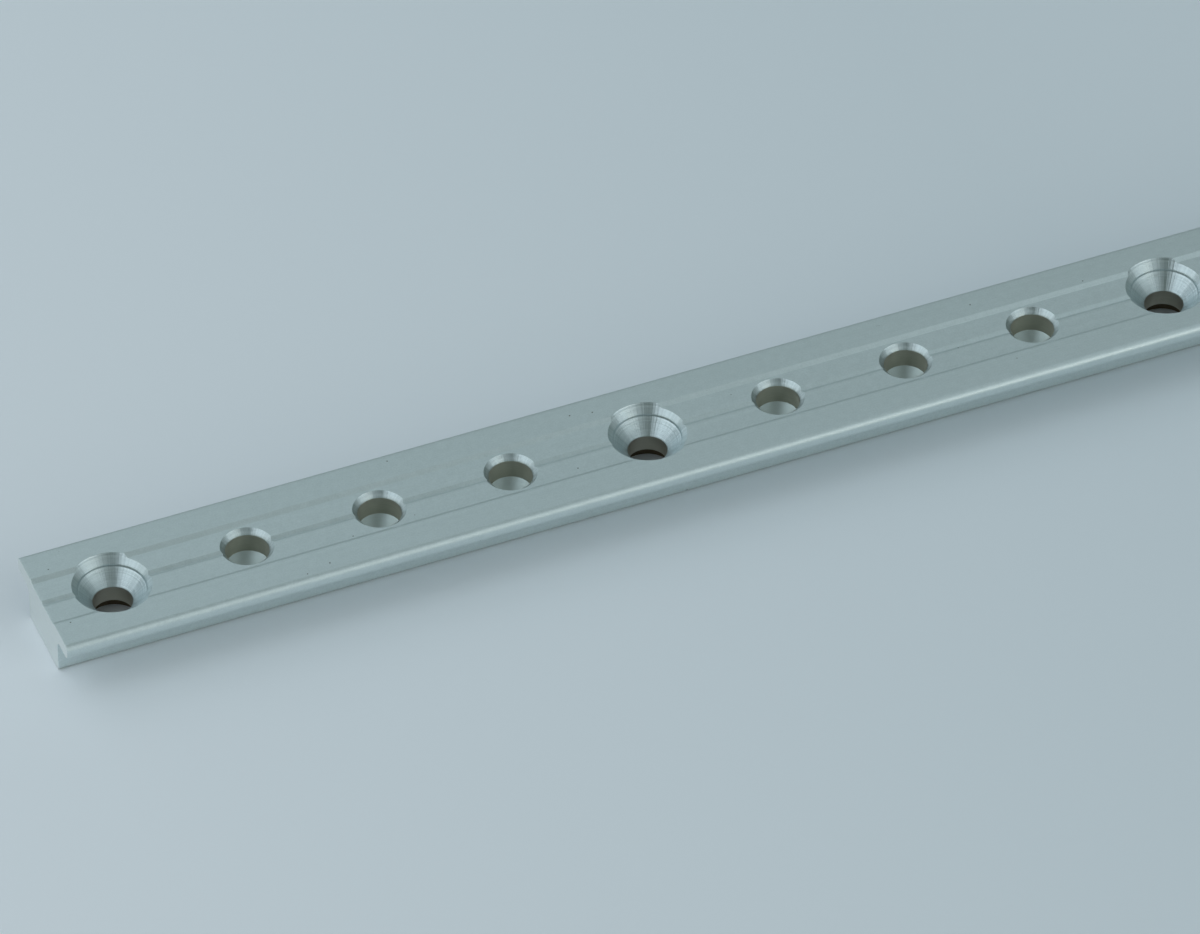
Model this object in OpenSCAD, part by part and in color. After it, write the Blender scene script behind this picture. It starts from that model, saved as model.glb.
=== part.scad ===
// Length of T-section track rail in aluminium, for a slider that hooks under its flanges.
// Countersunk screw holes fix it down and blind stop holes between them take a locking plunger.
// The rail lies along X on the floor at Z = 0, with its centre over the origin.

/* [Rail] */
// Length of the rail
rail_length = 600; // [200:25:1200]
// Width over both flanges
rail_width = 25; // [24:0.5:40]
// Height from the foot to the top lands
rail_height = 10; // [9.5:0.5:16]
// Thickness of each flange
flange_thickness = 3; // [2.6:0.1:3.6]
// Width of the web that stands on the deck
web_width = 14.6; // [13:0.2:17]
// Radius along the two top edges
top_edge_radius = 1.2; // [0.4:0.1:1.3]
// Radius along the two lower edges of the flange tips
tip_edge_radius = 1.2; // [0.3:0.1:1.3]
// Radius in the corner between flange and web
root_radius = 1.2; // [0.4:0.1:2]
// Radius along the two corners of the foot
foot_radius = 0.8; // [0.4:0.1:1.6]

/* [Top face] */
// Width of the flat floor of the sunk middle band
band_width = 10.3; // [8:0.1:14]
// Depth of the middle band below the outer lands
band_depth = 0.5; // [0.2:0.1:0.6]
// Width of the sloped side of the band
band_slope = 0.9; // [0.3:0.1:1.5]
// Width of the V-shaped centre line
centre_line_width = 1.5; // [0.8:0.1:2]
// Depth of the centre line below the band
centre_line_depth = 0.3; // [0.1:0.1:0.5]

/* [Screw holes] */
// Spacing of the screw holes
screw_pitch = 100; // [90:5:200]
// Distance from the end of the rail to the first screw hole
end_margin = 12.75; // [10:0.25:25]
// Diameter of the screw's clearance bore
screw_bore = 7; // [6:0.1:8]
// Diameter of the conical seat for the screw's head
seat_width = 12; // [10:0.1:12.6]
// Height of the step between the seat and the wider mouth above it
seat_step = 0.4; // [0.1:0.1:0.5]
// Diameter of the countersink's mouth at the top lands
countersink_width = 15; // [13:0.1:16]
// Included angle of the seat and of the mouth
countersink_angle = 90; // [82:1:100]
// Diameter of the sealing recess in the foot
seal_width = 9.9; // [9:0.1:11]
// Depth of the sealing recess in the foot
seal_depth = 2.4; // [1:0.1:3]

/* [Stop holes] */
// Number of stop holes between two screw holes
stop_count = 3; // [1:1:3]
// Distance from a screw hole to the first stop hole
stop_first = 24.9; // [20:0.1:30]
// Spacing of the stop holes
stop_pitch = 24.6; // [16:0.1:28]
// Diameter of each stop hole
stop_bore = 7.7; // [5:0.1:9]
// Depth of the stop hole's straight wall below the top lands
stop_depth = 5.2; // [4:0.1:5.4]
// Width of the 45 degree chamfer at the stop hole's mouth, at the top lands
stop_chamfer = 1.4; // [0.8:0.1:1.8]
// Point angle of the drill that made the stop hole
drill_angle = 118; // [110:1:140]

/* [Hidden] */
$fn = 96;
// How far a cut runs past the face that it opens
past = 1;
slot_height = rail_height - flange_thickness;
slot_depth = (rail_width - web_width) / 2;
mouth_depth = (countersink_width - seat_width) / 2 / tan(countersink_angle / 2);
seat_depth = (seat_width - screw_bore) / 2 / tan(countersink_angle / 2);
seat_top = rail_height - mouth_depth - seat_step;
drill_point = stop_bore / 2 / tan(drill_angle / 2);
// The last screw hole keeps the same margin from the far end as the first from its own
screw_count = floor((rail_length - 2 * end_margin) / screw_pitch) + 1;
last_stop = rail_length / 2 - end_margin;

// What a rounding takes off a square corner at the origin whose body lies toward +X and +Y.
// It also fills an inside corner whose walls lie along the two axes.
module corner(radius) {
    difference() {
        square(radius);
        translate([radius, radius]) circle(radius);
    }
}

// Half of the T outline, to the right of the centre line, standing on the foot.
module half_outline() {
    difference() {
        square([rail_width / 2, rail_height]);
        translate([web_width / 2, -past]) square([slot_depth + past, slot_height + past]);
        translate([rail_width / 2, rail_height]) rotate(180) corner(top_edge_radius);
        translate([rail_width / 2, slot_height]) rotate(90) corner(tip_edge_radius);
        translate([web_width / 2, 0]) rotate(90) corner(foot_radius);
    }
    translate([web_width / 2, slot_height]) rotate(-90) corner(root_radius);
}

// The sunk middle band with its sloped sides and the V-shaped centre line.
module top_relief() {
    floor_height = rail_height - band_depth;
    slope_run = band_slope / band_depth;
    polygon([
        [-band_width / 2 - band_slope - past * slope_run, rail_height + past],
        [-band_width / 2, floor_height],
        [-centre_line_width / 2, floor_height],
        [0, floor_height - centre_line_depth],
        [centre_line_width / 2, floor_height],
        [band_width / 2, floor_height],
        [band_width / 2 + band_slope + past * slope_run, rail_height + past],
    ]);
}

module section() {
    difference() {
        union() {
            half_outline();
            mirror([1, 0]) half_outline();
        }
        top_relief();
    }
}

// Stepped countersink, clearance bore and sealing recess as one turned shape.
module screw_hole() {
    rotate_extrude() polygon([
        [0, -past],
        [seal_width / 2, -past],
        [seal_width / 2, seal_depth],
        [screw_bore / 2, seal_depth],
        [screw_bore / 2, seat_top - seat_depth],
        [seat_width / 2, seat_top],
        [seat_width / 2, seat_top + seat_step],
        [countersink_width / 2, rail_height],
        [countersink_width / 2, rail_height + past],
        [0, rail_height + past],
    ]);
}

// Chamfered mouth, straight wall and drill point as one turned shape.
module stop_hole() {
    mouth = stop_bore / 2 + stop_chamfer;
    rotate_extrude() polygon([
        [0, rail_height - stop_depth - drill_point],
        [stop_bore / 2, rail_height - stop_depth],
        [stop_bore / 2, rail_height - stop_chamfer],
        [mouth, rail_height],
        [mouth, rail_height + past],
        [0, rail_height + past],
    ]);
}

module track_rail() {
    color("lightsteelblue")
    difference() {
        rotate([90, 0, 90]) linear_extrude(rail_length, center = true) section();
        for (bay = [0 : screw_count - 1]) {
            screw_x = -rail_length / 2 + end_margin + bay * screw_pitch;
            translate([screw_x, 0, 0]) screw_hole();
            for (stop = [0 : stop_count - 1]) {
                stop_x = screw_x + stop_first + stop * stop_pitch;
                if (stop_x <= last_stop) translate([stop_x, 0, 0]) stop_hole();
            }
        }
    }
}

track_rail();
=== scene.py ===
import math

import bmesh
import bpy
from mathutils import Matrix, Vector


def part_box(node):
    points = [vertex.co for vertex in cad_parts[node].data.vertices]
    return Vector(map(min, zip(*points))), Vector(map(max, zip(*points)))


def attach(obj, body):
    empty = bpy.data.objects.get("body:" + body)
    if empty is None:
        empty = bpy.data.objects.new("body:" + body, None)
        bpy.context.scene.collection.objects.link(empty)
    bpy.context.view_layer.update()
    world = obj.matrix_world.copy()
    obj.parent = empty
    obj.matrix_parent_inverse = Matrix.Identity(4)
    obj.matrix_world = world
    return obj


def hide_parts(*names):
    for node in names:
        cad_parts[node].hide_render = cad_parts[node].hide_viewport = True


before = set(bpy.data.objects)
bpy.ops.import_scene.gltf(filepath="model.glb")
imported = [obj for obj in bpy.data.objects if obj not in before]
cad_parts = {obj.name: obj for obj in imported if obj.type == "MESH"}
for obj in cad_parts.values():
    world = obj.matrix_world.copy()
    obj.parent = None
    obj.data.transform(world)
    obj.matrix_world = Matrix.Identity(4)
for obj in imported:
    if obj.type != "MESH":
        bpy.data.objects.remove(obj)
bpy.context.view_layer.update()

# ---------------------------------------------------------------- sizes, in millimetres
MM = 0.001
NODE = "track_rail"
low, high = (Vector(corner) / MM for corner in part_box(NODE))
LENGTH, WIDTH, HEIGHT = high - low

FLANGE_THICKNESS = 3
WEB_WIDTH = 14.6
TOP_EDGE_RADIUS = 1.2
TIP_EDGE_RADIUS = 1.2
ROOT_RADIUS = 1.2
FOOT_RADIUS = 0.8
BAND_WIDTH = 10.3
BAND_DEPTH = 0.5
BAND_SLOPE = 0.9
LINE_WIDTH = 1.5
LINE_DEPTH = 0.3
DIE_RADIUS = 0.15           # rounding that the die leaves on the small arrises
END_CHAMFER = 0.1           # deburred edge of the sawn ends

SCREW_PITCH = 100
END_MARGIN = 12.75
SCREW_BORE = 7
SEAT_WIDTH = 12
SEAT_STEP = 0.4
COUNTERSINK_WIDTH = 15
SEAL_WIDTH = 9.9
SEAL_DEPTH = 2.4
STOP_COUNT = 3
STOP_FIRST = 24.9
STOP_PITCH = 24.6
STOP_BORE = 7.7
STOP_DEPTH = 5.2
STOP_CHAMFER = 1.4
DRILL_POINT = STOP_BORE / 2 / math.tan(math.radians(118 / 2))
ARRIS = 0.12                # broken edge of the cones, at the bore and at the seat's step

# ---------------------------------------------------------------- how fine the mesh is
ARC_STEPS = 6               # straight pieces in each rounding of the section
TURN_STEPS = 120            # facets round each hole
PAST = 1                    # how far a cutter runs past the face that it opens
WELD = 0.002                # points that lie closer than this become one
SHARP_ANGLE = math.radians(32)
LARGE_FACE_WEIGHT = 60      # how strongly the large faces steer the shading

# ---------------------------------------------------------------- material slots
EXTRUDED, TURNED, BORED, DRILLED, SEALED, SAWN = range(6)


def new_object(name, data):
    piece = bpy.data.objects.new(name, data)
    bpy.context.scene.collection.objects.link(piece)
    return piece


# ---------------------------------------------------------------- the extrusion
def rounded(corners):
    """The outline through corners of (y, z, radius), each turned by an arc of its radius."""
    outline = []
    for i, (y, z, radius) in enumerate(corners):
        here = Vector((y, z))
        before = (Vector(corners[i - 1][:2]) - here).normalized()
        after = (Vector(corners[(i + 1) % len(corners)][:2]) - here).normalized()
        half = before.angle(after) / 2
        centre = here + (before + after).normalized() * radius / math.sin(half)
        first, last = (
            (here + way * radius / math.tan(half) - centre).normalized()
            for way in (before, after)
        )
        for step in range(ARC_STEPS + 1):
            outline.append(centre + first.slerp(last, step / ARC_STEPS) * radius)
    return outline


def half_section():
    """Corners of the right half of the section, from the foot round to the centre line."""
    slot = HEIGHT - FLANGE_THICKNESS
    floor = HEIGHT - BAND_DEPTH
    return [
        (WEB_WIDTH / 2, 0, FOOT_RADIUS),
        (WEB_WIDTH / 2, slot, ROOT_RADIUS),
        (WIDTH / 2, slot, TIP_EDGE_RADIUS),
        (WIDTH / 2, HEIGHT, TOP_EDGE_RADIUS),
        (BAND_WIDTH / 2 + BAND_SLOPE, HEIGHT, DIE_RADIUS),
        (BAND_WIDTH / 2, floor, DIE_RADIUS),
        (LINE_WIDTH / 2, floor, DIE_RADIUS),
    ]


def inset(outline, depth):
    """The outline moved inward by depth, corner by corner."""
    moved = []
    for i, here in enumerate(outline):
        along = (outline[(i + 1) % len(outline)] - outline[i - 1]).normalized()
        moved.append(here + Vector((-along.y, along.x)) * depth)
    return moved


def extrusion():
    """The rail's mesh before its holes, with both ends chamfered."""
    right = half_section()
    valley = (0, HEIGHT - BAND_DEPTH - LINE_DEPTH, DIE_RADIUS / 2)
    left = [(-y, z, radius) for y, z, radius in reversed(right)]
    outline = rounded(right + [valley] + left)
    ends = [
        (-LENGTH / 2, inset(outline, END_CHAMFER)),
        (-LENGTH / 2 + END_CHAMFER, outline),
        (LENGTH / 2 - END_CHAMFER, outline),
        (LENGTH / 2, inset(outline, END_CHAMFER)),
    ]
    bm = bmesh.new()
    rings = [[bm.verts.new((x, y, z)) for y, z in points] for x, points in ends]
    for ring, following in zip(rings, rings[1:]):
        for i in range(len(outline)):
            quad = (ring[i], ring[i - 1], following[i - 1], following[i])
            bm.faces.new(quad).material_index = EXTRUDED
    bm.faces.new(rings[0]).material_index = SAWN
    bm.faces.new(reversed(rings[-1])).material_index = SAWN
    return finished_mesh(bm, "track_rail_body")


def finished_mesh(bm, name):
    """The closed shape as a mesh, with its faces turned outward."""
    bmesh.ops.recalc_face_normals(bm, faces=bm.faces)
    mesh = bpy.data.meshes.new(name)
    bm.to_mesh(mesh)
    bm.free()
    return mesh


# ---------------------------------------------------------------- the holes
def turned(bm, centre_x, profile):
    """A closed turned shape: profile is (radius, height, material of the band up to the next)."""
    angles = [2 * math.pi * (i + 0.5) / TURN_STEPS for i in range(TURN_STEPS)]
    rings = []
    for radius, height, _ in profile:
        if radius == 0:
            rings.append([bm.verts.new((centre_x, 0, height))] * TURN_STEPS)
            continue
        rings.append([
            bm.verts.new((centre_x + radius * math.cos(a), radius * math.sin(a), height))
            for a in angles
        ])
    for (_, _, material), ring, following in zip(profile, rings, rings[1:]):
        for i in range(TURN_STEPS):
            beside = i + 1 - TURN_STEPS
            corners = (ring[beside], ring[i], following[i], following[beside])
            bm.faces.new(list(dict.fromkeys(corners))).material_index = material


def screw_profile():
    """Countersink with a stepped seat, bore, and the wider recess under it."""
    bore = SCREW_BORE / 2
    seat = SEAT_WIDTH / 2
    mouth = COUNTERSINK_WIDTH / 2
    seat_top = HEIGHT - (mouth - seat) - SEAT_STEP
    throat = seat_top - (seat - bore)
    return [
        (0, -PAST, SEALED),
        (SEAL_WIDTH / 2, -PAST, SEALED),
        (SEAL_WIDTH / 2, SEAL_DEPTH, SEALED),
        (bore, SEAL_DEPTH, BORED),
        (bore, throat - ARRIS, TURNED),
        (bore + ARRIS / 2, throat + ARRIS / 4, TURNED),
        (bore + ARRIS, throat + ARRIS, TURNED),
        (seat - ARRIS / 2, seat_top - ARRIS / 2, TURNED),
        (seat, seat_top + ARRIS / 2, TURNED),
        (seat, seat_top + SEAT_STEP - ARRIS, TURNED),
        (seat + ARRIS, seat_top + SEAT_STEP + ARRIS, TURNED),
        (mouth, HEIGHT, TURNED),
        (mouth + PAST, HEIGHT + PAST, TURNED),
        (0, HEIGHT + PAST, TURNED),
    ]


def stop_profile():
    """Chamfered blind hole down to its drill point."""
    bore = STOP_BORE / 2
    throat = HEIGHT - STOP_CHAMFER
    mouth = bore + STOP_CHAMFER
    return [
        (0, HEIGHT - STOP_DEPTH - DRILL_POINT, DRILLED),
        (bore, HEIGHT - STOP_DEPTH, BORED),
        (bore, throat - ARRIS, TURNED),
        (bore + ARRIS / 2, throat + ARRIS / 4, TURNED),
        (bore + ARRIS, throat + ARRIS, TURNED),
        (mouth, HEIGHT, TURNED),
        (mouth + PAST, HEIGHT + PAST, TURNED),
        (0, HEIGHT + PAST, TURNED),
    ]


def hole_places():
    """X of each screw hole and of each stop hole."""
    first = -LENGTH / 2 + END_MARGIN
    bays = int((LENGTH - 2 * END_MARGIN) // SCREW_PITCH) + 1
    screws = [first + bay * SCREW_PITCH for bay in range(bays)]
    stops = [x + STOP_FIRST + k * STOP_PITCH for x in screws for k in range(STOP_COUNT)]
    return screws, stops


def hole_cutters(screws, stops):
    bm = bmesh.new()
    for x in screws:
        turned(bm, x, screw_profile())
    for x in stops:
        turned(bm, x, stop_profile())
    return finished_mesh(bm, "hole_cutters")


def apply_modifiers(piece):
    graph = bpy.context.evaluated_depsgraph_get()
    mesh = bpy.data.meshes.new_from_object(piece.evaluated_get(graph))
    piece.modifiers.clear()
    piece.data = mesh


def drilled(body, cutters, finishes):
    """The rail with the cutters taken out, still in millimetres."""
    piece = new_object("track_rail_skin", body)
    tool = new_object("hole_cutters", cutters)
    for part in (piece, tool):
        for finish in finishes:
            part.data.materials.append(finish)
    cut = piece.modifiers.new("holes", "BOOLEAN")
    cut.operation = "DIFFERENCE"
    cut.solver = "EXACT"
    cut.material_mode = "INDEX"
    cut.object = tool
    apply_modifiers(piece)
    bpy.data.objects.remove(tool)
    return piece


def finish_mesh(piece, hole_centres):
    """Welds the seams, stores how far each point is from its hole, and scales to metres.

    Faces are shaded smooth, apart from edges that are sharp or part two finishes.
    """
    bm = bmesh.new()
    bm.from_mesh(piece.data)
    bmesh.ops.remove_doubles(bm, verts=bm.verts, dist=WELD)
    bmesh.ops.dissolve_degenerate(bm, dist=WELD, edges=bm.edges)
    offsets = bm.verts.layers.float_vector.new("hole_offset")
    for vertex in bm.verts:
        near = min(hole_centres, key=lambda x: abs(x - vertex.co.x))
        vertex[offsets] = (vertex.co.x - near, vertex.co.y, 0)
    bmesh.ops.scale(bm, vec=(MM, MM, MM), verts=bm.verts)
    for face in bm.faces:
        face.smooth = True
    for edge in bm.edges:
        finishes = {face.material_index for face in edge.link_faces}
        edge.smooth = len(finishes) == 1 and edge.calc_face_angle() < SHARP_ANGLE
    bm.to_mesh(piece.data)
    bm.free()
    smooth = piece.modifiers.new("flat faces stay flat", "WEIGHTED_NORMAL")
    smooth.keep_sharp = True
    smooth.weight = LARGE_FACE_WEIGHT
    apply_modifiers(piece)


# ---------------------------------------------------------------- colours and patterns
# Each pair of tones is the dark and the light end of what a finish's pattern mixes.
EXTRUDED_TONES = (0.55, 0.63, 0.635), (0.71, 0.79, 0.80)
TURNED_TONES = (0.38, 0.46, 0.47), (0.74, 0.81, 0.82)
BORED_TONES = (0.58, 0.55, 0.47), (0.70, 0.67, 0.58)
# The sealing recess's tones are dark painted shade, for the shadow under the rail seen through the
# screw bores.
RECESS_SHADE_TONES = (0.15, 0.11, 0.06), (0.22, 0.17, 0.11)
DRILLED_TONES = (0.50, 0.58, 0.575), (0.60, 0.68, 0.675)
SAWN_TONES = (0.78, 0.81, 0.80), (0.88, 0.91, 0.90)

# From here on, lengths are in metres, apart from offsets from a hole, which stay in millimetres.
MICRON = 0.000001
DRAWN = (6, 2500, 2500)     # die lines: long along the rail, fine across it
SCORED = (300, 300, 5000)   # scores and saw strokes: level, and fine up the height

PIT_COLOUR = (0.16, 0.18, 0.17)
PIT_SPACING = 0.0040
PIT_RADIUS = 0.00018
PIT_CORE = 0.6              # share of a pit's radius that is wholly dark
# Painted contact shade: a darker, browner tone over the foot where it meets the floor, fading out
# up the web.
FOOT_SHADE_COLOUR = (0.20, 0.19, 0.10)
FOOT_SHADE_HEIGHT = 0.0034
FOOT_SHADE_FADE = 6.0
FOOT_SHADE_COVER = 0.5           # how much of the metal it hides at the floor

MIX_FIRST, MIX_SECOND, MIX_RESULT = 6, 7, 2     # the colour sockets of a Mix node


class Finish:
    """A Principled material with short calls for the nodes that shape it."""

    def __init__(self, name, roughness, metallic=1.0, anisotropy=0.0):
        self.material = bpy.data.materials.new(name)
        self.material.use_nodes = True
        self.tree = self.material.node_tree
        self.shader = self.tree.nodes["Principled BSDF"]
        self.shader.inputs["Roughness"].default_value = roughness
        self.shader.inputs["Metallic"].default_value = metallic
        self.shader.inputs["Anisotropic"].default_value = anisotropy

    def node(self, kind, **settings):
        made = self.tree.nodes.new(kind)
        for key, value in settings.items():
            setattr(made, key, value)
        return made

    def link(self, source, target):
        """Feeds a socket or a plain value into a socket."""
        if isinstance(source, bpy.types.NodeSocket):
            self.tree.links.new(source, target)
        else:
            target.default_value = source

    def set(self, name, value):
        """Feeds a socket or a plain value into the shader."""
        self.link(value, self.shader.inputs[name])

    def point(self):
        """Object coordinates, in metres."""
        return self.node("ShaderNodeTexCoord").outputs["Object"]

    def axis(self, name):
        """One of the object coordinates, in metres."""
        split = self.node("ShaderNodeSeparateXYZ")
        self.link(self.point(), split.inputs[0])
        return split.outputs[name]

    def hole_offset(self):
        """From the axis of the nearest hole to the point, level, in millimetres."""
        return self.node("ShaderNodeAttribute", attribute_name="hole_offset").outputs["Vector"]

    def maths(self, operation, *values):
        made = self.node("ShaderNodeMath", operation=operation)
        for value, socket in zip(values, made.inputs):
            self.link(value, socket)
        return made.outputs[0]

    def vector(self, operation, *values):
        made = self.node("ShaderNodeVectorMath", operation=operation)
        for value, socket in zip(values, made.inputs):
            self.link(value, socket)
        return made.outputs["Value" if operation == "LENGTH" else "Vector"]

    def along(self, value):
        """A point on a line, so that a texture varies with one value alone."""
        made = self.node("ShaderNodeCombineXYZ")
        self.link(value, made.inputs["X"])
        return made.outputs["Vector"]

    def noise(self, vector, scale, detail=2.0, roughness=0.5):
        made = self.node("ShaderNodeTexNoise")
        self.link(vector, made.inputs["Vector"])
        self.link(scale, made.inputs["Scale"])
        self.link(detail, made.inputs["Detail"])
        self.link(roughness, made.inputs["Roughness"])
        return made.outputs["Fac"]

    def stretched_noise(self, scales, detail):
        return self.noise(self.vector("MULTIPLY", self.point(), scales), scale=1.0, detail=detail)

    def remap(self, value, low, high, start=0.0, end=1.0):
        """Turns start to end into low to high, and holds it there beyond both."""
        made = self.node("ShaderNodeMapRange")
        for key, number in (("Value", value), ("From Min", start), ("From Max", end),
                            ("To Min", low), ("To Max", high)):
            self.link(number, made.inputs[key])
        return made.outputs["Result"]

    def spread(self, value):
        """A noise value, which keeps near the middle, stretched to fill 0 to 1."""
        return self.remap(value, 0.0, 1.0, start=0.3, end=0.7)

    def blend(self, *layers):
        """Layers of (value, share), added up."""
        shares = [self.maths("MULTIPLY", value, share) for value, share in layers]
        total = shares[0]
        for share in shares[1:]:
            total = self.maths("ADD", total, share)
        return total

    def mix(self, factor, first, second):
        made = self.node("ShaderNodeMix", data_type="RGBA")
        self.link(factor, made.inputs["Factor"])
        for value, place in ((first, MIX_FIRST), (second, MIX_SECOND)):
            plain = not isinstance(value, bpy.types.NodeSocket)
            self.link((*value, 1) if plain else value, made.inputs[place])
        return made.outputs[MIX_RESULT]

    def bump(self, *layers):
        """Layers of (height, depth in metres), added up."""
        normal = None
        for height, depth in layers:
            made = self.node("ShaderNodeBump")
            self.link(height, made.inputs["Height"])
            self.link(depth, made.inputs["Distance"])
            if normal is not None:
                self.link(normal, made.inputs["Normal"])
            normal = made.outputs["Normal"]
        self.set("Normal", normal)


# ---------------------------------------------------------------- the rail's finishes
def pits(f):
    """1 in the few small pits of the surface and 0 elsewhere."""
    cells = f.node("ShaderNodeTexVoronoi")
    f.link(f.point(), cells.inputs["Vector"])
    f.link(1 / PIT_SPACING, cells.inputs["Scale"])
    edge = PIT_RADIUS / PIT_SPACING
    return f.remap(cells.outputs["Distance"], 1.0, 0.0, start=edge * PIT_CORE, end=edge)


def foot_painted_shade(f):
    """How much painted contact shade hides the metal: most where the foot meets the floor, less up
    the web.
    """
    nearness = f.remap(f.axis("Z"), 1.0, 0.0, start=0.0, end=FOOT_SHADE_HEIGHT)
    return f.maths("MULTIPLY", f.maths("POWER", nearness, FOOT_SHADE_FADE), FOOT_SHADE_COVER)


def extruded_finish():
    """Satin anodising over fine die lines along the rail, a few pits, and painted contact shade
    darkening the foot.
    """
    f = Finish("extruded_anodised", 0.39, metallic=0.7, anisotropy=0.4)
    lines = f.stretched_noise(DRAWN, detail=3.0)
    grain = f.spread(f.noise(f.point(), scale=3200.0, detail=3.0, roughness=0.7))
    cloud = f.spread(f.noise(f.point(), scale=700.0))
    shade = f.blend((lines, 0.35), (grain, 0.45), (cloud, 0.20))
    # painted contact shade mixed over the foot's tone
    tone = f.mix(foot_painted_shade(f), f.mix(shade, *EXTRUDED_TONES), FOOT_SHADE_COLOUR)
    f.set("Base Color", f.mix(pits(f), tone, PIT_COLOUR))
    f.set("Roughness", f.remap(cloud, 0.37, 0.41))
    f.bump((lines, 4 * MICRON), (grain, 6 * MICRON))
    normal = f.node("ShaderNodeNewGeometry").outputs["Normal"]
    f.set("Tangent", f.vector("CROSS_PRODUCT", normal, (1, 0, 0)))
    return f.material


def turned_finish():
    """Tool rings round the hole's axis and faint radial chatter, under the anodising."""
    f = Finish("turned_anodised", 0.32, anisotropy=0.75)
    radius = f.along(f.vector("LENGTH", f.hole_offset()))
    rings = f.spread(f.noise(radius, scale=3.2, detail=4.0, roughness=0.7))
    chatter = f.spread(f.noise(f.vector("NORMALIZE", f.hole_offset()), scale=16.0))
    f.set("Base Color", f.mix(f.blend((rings, 0.7), (chatter, 0.3)), *TURNED_TONES))
    f.set("Roughness", f.remap(rings, 0.29, 0.35))
    f.bump((rings, 50 * MICRON), (chatter, 20 * MICRON))
    f.set("Tangent", f.hole_offset())
    return f.material


def bored_finish(name, tones):
    """A dull wall deep in a hole, scored round its axis, in the given tones; the sealing recess
    gets dark painted-shade tones.
    """
    f = Finish(name, 0.45, anisotropy=0.3)
    scores = f.stretched_noise(SCORED, detail=2.0)
    f.set("Base Color", f.mix(scores, *tones))
    f.bump((scores, 10 * MICRON))
    f.set("Tangent", (0, 0, 1))
    return f.material


def drilled_finish():
    """The cone that the drill's point leaves, rougher than the turned cones above it."""
    f = Finish("drilled_point", 0.50, anisotropy=0.2)
    radius = f.along(f.vector("LENGTH", f.hole_offset()))
    rings = f.noise(radius, scale=6.0, detail=3.0)
    f.set("Base Color", f.mix(rings, *DRILLED_TONES))
    f.bump((rings, 10 * MICRON))
    f.set("Tangent", f.hole_offset())
    return f.material


def sawn_finish():
    """Bright metal with level saw strokes."""
    f = Finish("sawn_end", 0.55)
    strokes = f.stretched_noise(SCORED, detail=3.0)
    f.set("Base Color", f.mix(strokes, *SAWN_TONES))
    f.bump((strokes, 10 * MICRON))
    return f.material


finishes = (
    extruded_finish(),
    turned_finish(),
    bored_finish("bored_wall", BORED_TONES),
    drilled_finish(),
    bored_finish("sealing_recess_painted_shade", RECESS_SHADE_TONES),
    sawn_finish(),
)
screws, stops = hole_places()
rail = drilled(extrusion(), hole_cutters(screws, stops), finishes)
finish_mesh(rail, screws + stops)
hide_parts(NODE)
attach(rail, "root")

# ---------------------------------------------------------------- floor
FLOOR_REACH = 4.0
# Painted shading: the paper goes from a lit tone at the left to a shaded tone further right,
# standing in for light falling off across the floor.
PAPER_PAINTED_LIT = (0.90, 0.925, 0.965)
PAPER_PAINTED_SHADE = (0.73, 0.785, 0.825)
PAPER_SHADE_SPAN = (-0.36, -0.10)     # X over which the paper goes from light to shaded

floor_mesh = bpy.data.meshes.new("floor")
floor_corners = [(x * FLOOR_REACH, y * FLOOR_REACH, 0)
                 for x, y in ((-1, -1), (1, -1), (1, 1), (-1, 1))]
floor_mesh.from_pydata(floor_corners, [], [(0, 1, 2, 3)])
floor = new_object("floor", floor_mesh)
paper = Finish("pale_paper", 0.8, metallic=0.0)
shading = paper.remap(paper.axis("X"), 0.0, 1.0, *PAPER_SHADE_SPAN)
paper.set("Base Color", paper.mix(shading, PAPER_PAINTED_LIT, PAPER_PAINTED_SHADE))
floor.data.materials.append(paper.material)

# ---------------------------------------------------------------- light
FILL_COLOUR = (0.80, 1.0, 0.88, 1)
FILL_STRENGTH = 0.13
SEEN = Vector((-0.19, 0, 0))    # the middle of what the photo shows, where the panels aim
STUDIO_RADIUS = 2.6
CEILING_HEIGHT = 1.5
COOL = (0.85, 1.0, 1.10)
MILD = (0.91, 1.0, 1.06)
CLEAR = (0.91, 1.0, 1.10)
SAGE = (0.93, 1.0, 0.90)
CREAM = (1.0, 1.0, 0.92)

world = bpy.data.worlds.new("studio")
bpy.context.scene.world = world
world.use_nodes = True
fill = world.node_tree.nodes["Background"]
fill.inputs["Color"].default_value = FILL_COLOUR
fill.inputs["Strength"].default_value = FILL_STRENGTH


def direction(azimuth, elevation):
    """The way from the rail to this azimuth and elevation in radians; azimuth 0 is -Y, 90 is +X."""
    level = math.cos(elevation)
    return Vector((math.sin(azimuth) * level, -math.cos(azimuth) * level, math.sin(elevation)))


def softbox(name, place, turn, width, depth, radiance, colour):
    """A plain panel of the given brightness that the camera doesn't see."""
    lamp = bpy.data.lights.new(name, "AREA")
    lamp.shape = "RECTANGLE"
    lamp.size = width
    lamp.size_y = depth
    lamp.energy = math.pi * width * depth * radiance
    lamp.color = colour
    box = new_object(name, lamp)
    box.location = place
    box.rotation_euler = turn
    box.visible_camera = False


def wall_light(name, azimuths, elevations, radiance, colour=MILD):
    """A panel that fills these two ranges of direction, in degrees, as the rail sees them."""
    azimuth, elevation = (math.radians(sum(pair) / 2) for pair in (azimuths, elevations))
    half_turn, half_rise = (
        math.radians((pair[1] - pair[0]) / 2) for pair in (azimuths, elevations)
    )
    away = direction(azimuth, elevation)
    width = 2 * STUDIO_RADIUS * math.tan(half_turn) * math.cos(elevation)
    depth = 2 * STUDIO_RADIUS * math.tan(half_rise)
    turn = away.to_track_quat("Z", "Y").to_euler()
    softbox(name, SEEN + away * STUDIO_RADIUS, turn, width, depth, radiance, colour)


def ceiling_light(name, xs, ys, radiance):
    """A level panel over these ranges of X and Y, in metres."""
    place = (sum(xs) / 2, sum(ys) / 2, CEILING_HEIGHT)
    softbox(name, place, (0, 0, 0), xs[1] - xs[0], ys[1] - ys[0], radiance, COOL)


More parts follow.
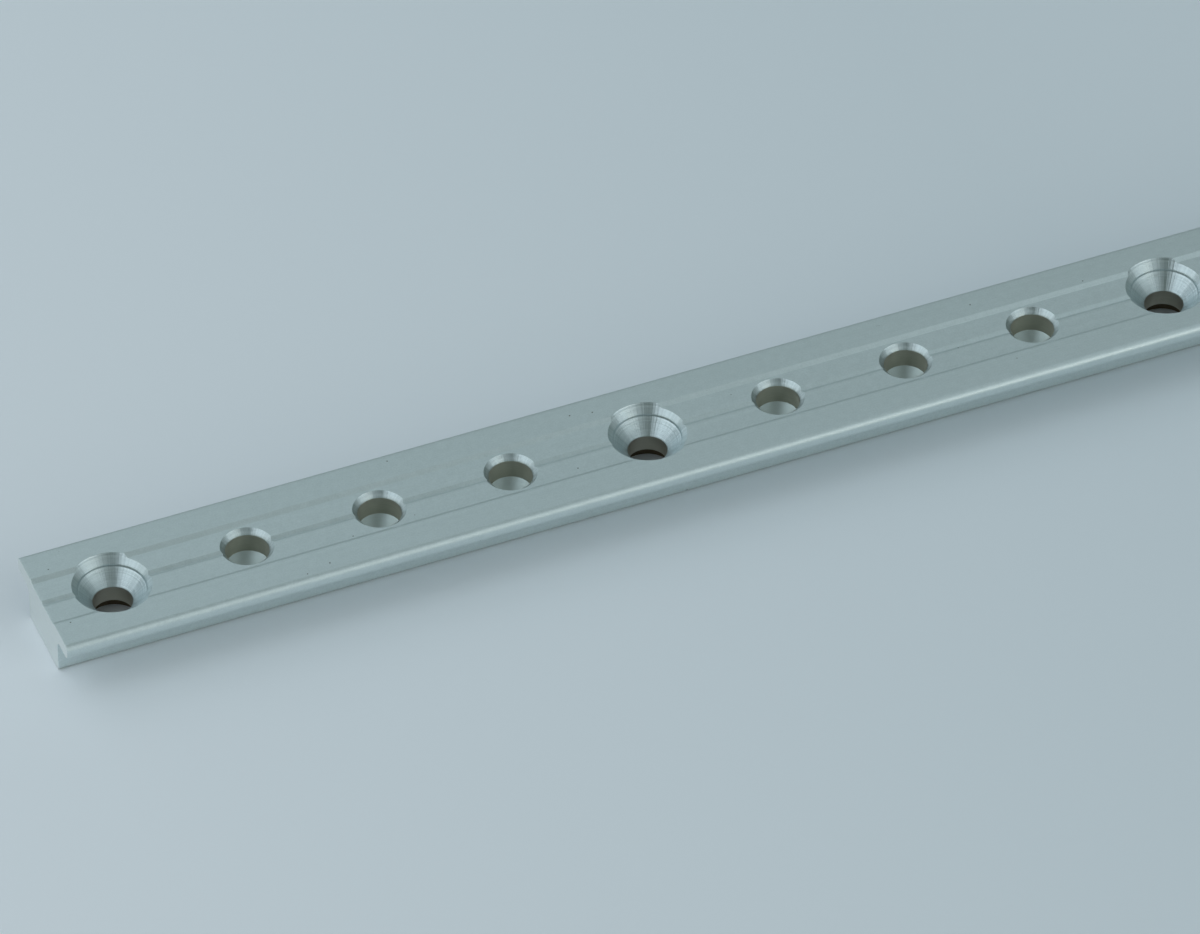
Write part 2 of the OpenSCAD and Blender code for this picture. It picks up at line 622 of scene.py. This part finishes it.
wall_light("left_low", (-130, -45), (3, 20), 0.60, SAGE)
wall_light("left", (-130, -45), (20, 60), 0.95, CLEAR)
wall_light("front_low", (-45, -4), (4, 18), 0.64, COOL)
wall_light("front_left", (-3, 10), (3, 60), 0.68)
wall_light("front", (10, 19), (3, 38), 0.28)
wall_light("front_high", (10, 19), (38, 60), 0.20)
wall_light("front_right_low", (19, 42), (3, 20), 2.1, CREAM)
wall_light("front_right", (19, 42), (20, 38), 1.1)
wall_light("front_right_high", (19, 42), (38, 60), 0.72)
wall_light("right_low", (42, 65), (3, 20), 1.85)
wall_light("right", (42, 65), (20, 46), 0.52)
wall_light("far_right_low", (65, 92), (3, 22), 0.30)
wall_light("far_right", (65, 92), (22, 46), 0.42)
wall_light("back_low", (140, 180), (3, 36), 0.10, COOL)
wall_light("back_right_high", (138, 158), (36, 60), 0.25, COOL)
wall_light("back_high", (158, 180), (36, 60), 0.53, COOL)
wall_light("back_left_low", (-180, -135), (3, 22), 0.54)
wall_light("back_left", (-180, -135), (22, 48), 0.98, CLEAR)
ceiling_light("ceiling_left", (-1.2, -0.45), (0.0, 0.9), 1.0)
ceiling_light("ceiling_back", (-0.45, 0.15), (0.25, 0.9), 0.34)
ceiling_light("ceiling_right", (0.40, 1.3), (-0.2, 0.9), 0.56)
ceiling_light("ceiling_front_right", (0.25, 1.3), (-0.6, -0.2), 0.56)

# ---------------------------------------------------------------- the photo's view
VIEW_AZIMUTH = math.radians(-22.48)
VIEW_ELEVATION = math.radians(43.08)
VIEW_DISTANCE = 1.5784
VIEW_PAST_SCREW = 88.78         # X of the point aimed at, from the first screw hole, in mm
VIEW_OFF_CENTRE = -5.31         # Y of the point aimed at, in mm
FOCAL_LENGTH = 271.3            # in mm
SENSOR_WIDTH = 36               # in mm
NEAREST = 0.01

aim = Vector(((screws[0] + VIEW_PAST_SCREW) * MM, VIEW_OFF_CENTRE * MM, HEIGHT * MM))
back = direction(VIEW_AZIMUTH, VIEW_ELEVATION)
lens = bpy.data.cameras.new("photo_view")
lens.lens = FOCAL_LENGTH
lens.sensor_width = SENSOR_WIDTH
lens.clip_start = NEAREST
camera = new_object("photo_view", lens)
camera.location = aim + back * VIEW_DISTANCE
camera.rotation_euler = back.to_track_quat("Z", "Y").to_euler()
bpy.context.scene.camera = camera
bpy.context.scene.view_settings.view_transform = "Standard"
